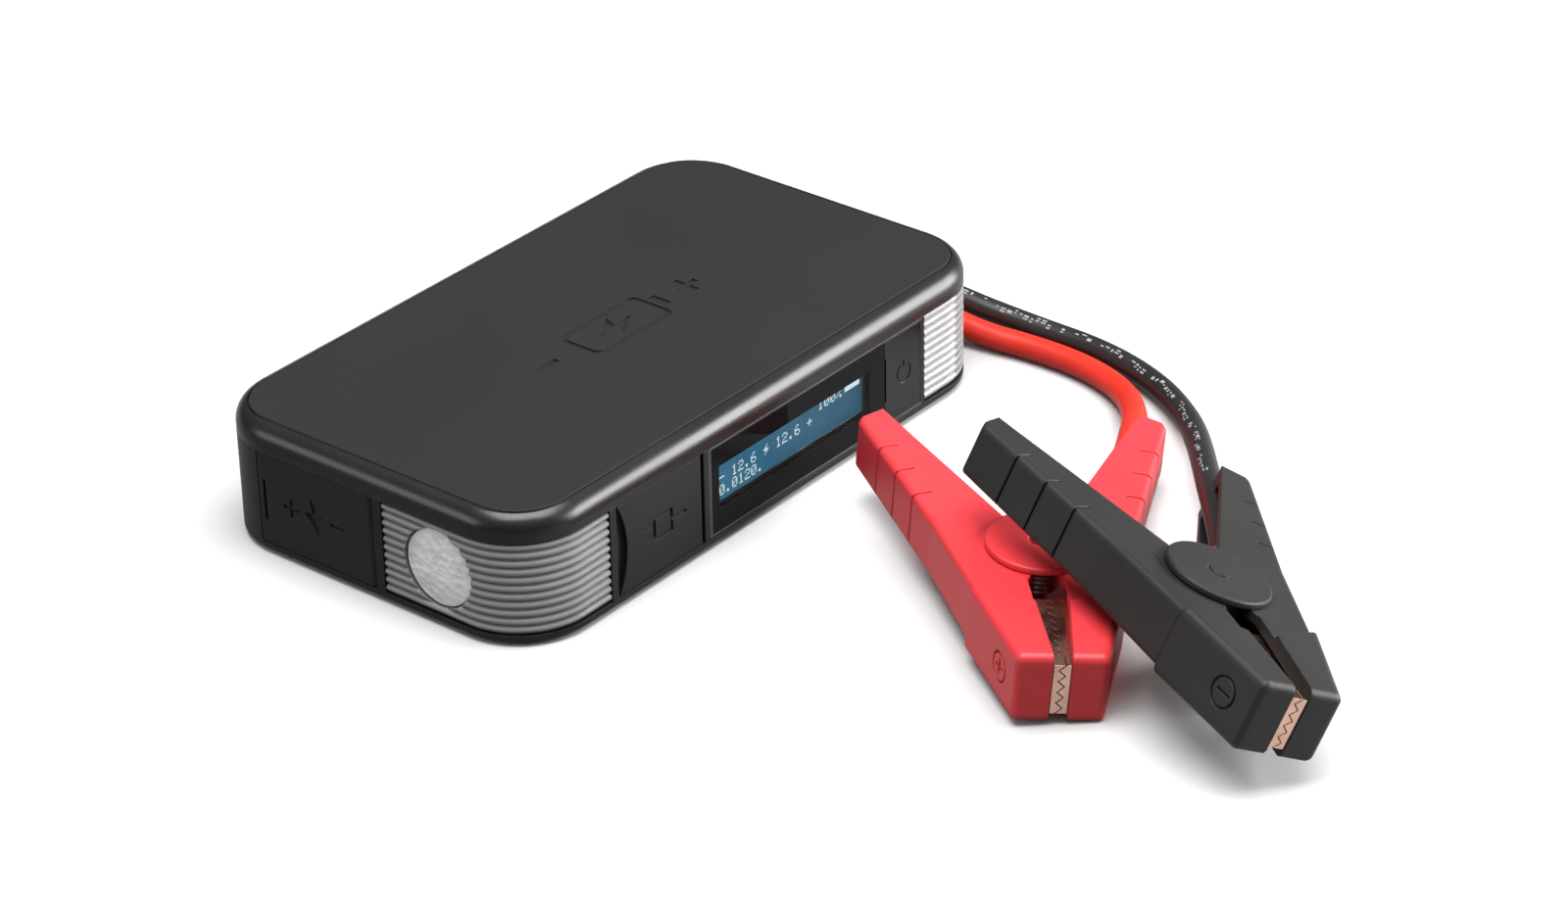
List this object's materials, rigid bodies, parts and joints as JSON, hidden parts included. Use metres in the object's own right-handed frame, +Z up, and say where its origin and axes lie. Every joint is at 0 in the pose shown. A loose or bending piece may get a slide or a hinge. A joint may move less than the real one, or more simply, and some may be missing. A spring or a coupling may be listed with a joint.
{
  "type": "jump starter pack",
  "caption": "Pocket vehicle jump starter: flat rounded power pack with corner lamps, torch, display and port flaps, and a plug-in pair of spring clamps on short leads.",
  "frame": {"origin": "centre of the power pack's footprint, on the surface it stands on (leads, plug and clamps left out)", "axes": "+X along the pack's length towards the lead plug, +Y towards the plain long side, +Z up; the display side is -Y"},
  "size_m": [0.1798, 0.2474, 0.04],
  "materials": {
    "shell_black": "satin black ABS",
    "plate_grey": "fine matte soft-touch charcoal",
    "mat_rubber": "matte rubber",
    "steel": "zinc plated",
    "lens_clear": "clear ribbed polycarbonate",
    "reflector_white": "white reflector",
    "reflector_silver": "metallised reflector",
    "led_board": "white solder mask with LED chips",
    "flap_black": "satin black",
    "window_black": "smoked acrylic",
    "bezel_grey": "gloss dark grey",
    "lcd_frame": "black steel frame",
    "lcd_blue": "lit blue display",
    "button_black": "gloss black",
    "connector_metal": "nickel plated",
    "connector_black": "black nylon",
    "contact_gold": "gold plated brass",
    "board_green": "green circuit board",
    "components": "component bodies",
    "cell_silver": "aluminium laminate pouch cell",
    "nickel": "nickel strip",
    "foam": "EVA foam",
    "plug_blue": "dark blue nylon",
    "cable_red": "red silicone",
    "cable_black": "black silicone",
    "copper": "copper",
    "clamp_red": "satin red moulded plastic",
    "clamp_black": "satin black moulded plastic",
    "wire_black": "insulated wire"
  },
  "bodies": {
    "case": {"top_shell": "shell_black", "top_plate": "plate_grey", "bottom_shell": "shell_black", "base_mat": "mat_rubber", "case_screws": "steel", "hinge_pins": "steel", "light_lens_front": "lens_clear", "light_lens_rear": "lens_clear", "lamp_reflector_front": "reflector_white", "lamp_reflector_rear": "reflector_white", "lamp_leds_front": "led_board", "lamp_leds_rear": "led_board", "torch_lens": "lens_clear", "torch_reflector": "reflector_silver", "torch_led": "led_board", "display_bezel": "bezel_grey", "display_window": "window_black", "lcd_module": "lcd_frame", "lcd_glass": "lcd_blue", "button_switch": "connector_black", "usb_a_sockets": "connector_metal", "usb_c_socket": "connector_metal", "power_sockets": "connector_black", "jump_socket": "connector_black", "jump_socket_pins": "contact_gold", "main_board": "board_green", "board_components": "components", "battery_cells": "cell_silver", "cell_tabs": "nickel", "cell_pads": "foam", "socket_wires": "wire_black"},
    "usb_door": {"usb_flap": "flap_black"},
    "power_door": {"aux_flap": "flap_black"},
    "button": {"power_button": "button_black"},
    "lead_set": {"plug_housing": "plug_blue", "plug_contacts": "contact_gold", "plug_strain_reliefs": "cable_black", "red_cable": "cable_red", "black_cable": "cable_black", "lead_crimps": "copper", "red_lever_b": "clamp_red", "red_jaw_b": "copper", "red_pivot_pin": "steel", "red_pivot_discs": "clamp_red", "red_spring": "steel", "black_lever_b": "clamp_black", "black_jaw_b": "copper", "black_pivot_pin": "steel", "black_pivot_discs": "clamp_black", "black_spring": "steel"},
    "red_lever": {"red_lever_a": "clamp_red", "red_jaw_a": "copper"},
    "black_lever": {"black_lever_a": "clamp_black", "black_jaw_a": "copper"}
  },
  "joints": [
    {"name": "usb_flap_hinge", "type": "hinge", "parent": "case", "child": "usb_door", "pos_m": [-0.02525, -0.045, 0.01385], "axis": [0, 0, 1], "range_deg": [0, 95]},
    {"name": "aux_flap_hinge", "type": "hinge", "parent": "case", "child": "power_door", "pos_m": [-0.07875, -0.00155, 0.01385], "axis": [0, 0, 1], "range_deg": [0, 95]},
    {"name": "power_button_press", "type": "slide", "parent": "case", "child": "button", "axis": [0, 1, 0], "range_m": [0, 0.0006], "stiffness_N_per_m": 800, "springref_m": -0.0006},
    {"name": "plug_pull", "type": "slide", "parent": "case", "child": "lead_set", "axis": [1, 0, 0], "range_m": [0, 0.022]},
    {"name": "red_clamp_open", "type": "hinge", "parent": "lead_set", "child": "red_lever", "pos_m": [-0.0015, -0.1172, 0.01005], "axis": [-0.0271, 0.0814, -0.9963], "range_deg": [0, 30], "stiffness_Nm_per_rad": 0.8, "springref_deg": -11.46, "deforming": ["red_spring"]},
    {"name": "black_clamp_open", "type": "hinge", "parent": "lead_set", "child": "black_lever", "pos_m": [-0.0034, -0.1596, 0.0187], "axis": [-0.3087, 0.2569, -0.9158], "range_deg": [0, 22], "stiffness_Nm_per_rad": 0.8, "springref_deg": -11.46, "deforming": ["black_spring"]}
  ]
}
